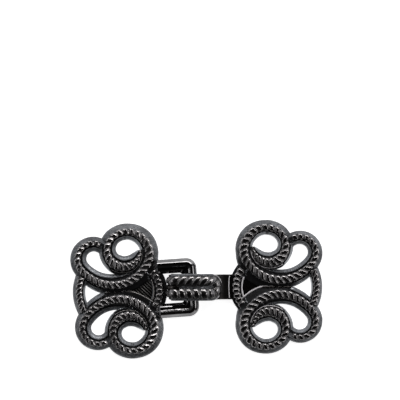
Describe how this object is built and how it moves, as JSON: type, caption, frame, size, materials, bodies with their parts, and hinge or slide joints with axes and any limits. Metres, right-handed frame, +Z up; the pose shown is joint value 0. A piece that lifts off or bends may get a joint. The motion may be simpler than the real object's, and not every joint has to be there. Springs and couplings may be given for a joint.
{
  "type": "hook and eye clasp",
  "caption": "Fastened hook and eye clasp: pierced scroll castings with twisted cord relief, a squared loop and a hooked tongue, sewn on by their openings.",
  "frame": {"origin": "middle of the fastened clasp's footprint, on the surface that its flat backs lie on", "axes": "+X from the eye half to the hook half, +Z up from the backs to the decorated faces, +Y across"},
  "size_m": [0.069, 0.038, 0.0054],
  "materials": {
    "black_nickel": "glossy black nickel plate, polished bright along the ridges and edges"
  },
  "bodies": {
    "root": {"eye_half": "black_nickel", "hook_half": "black_nickel"}
  },
  "joints": []
}
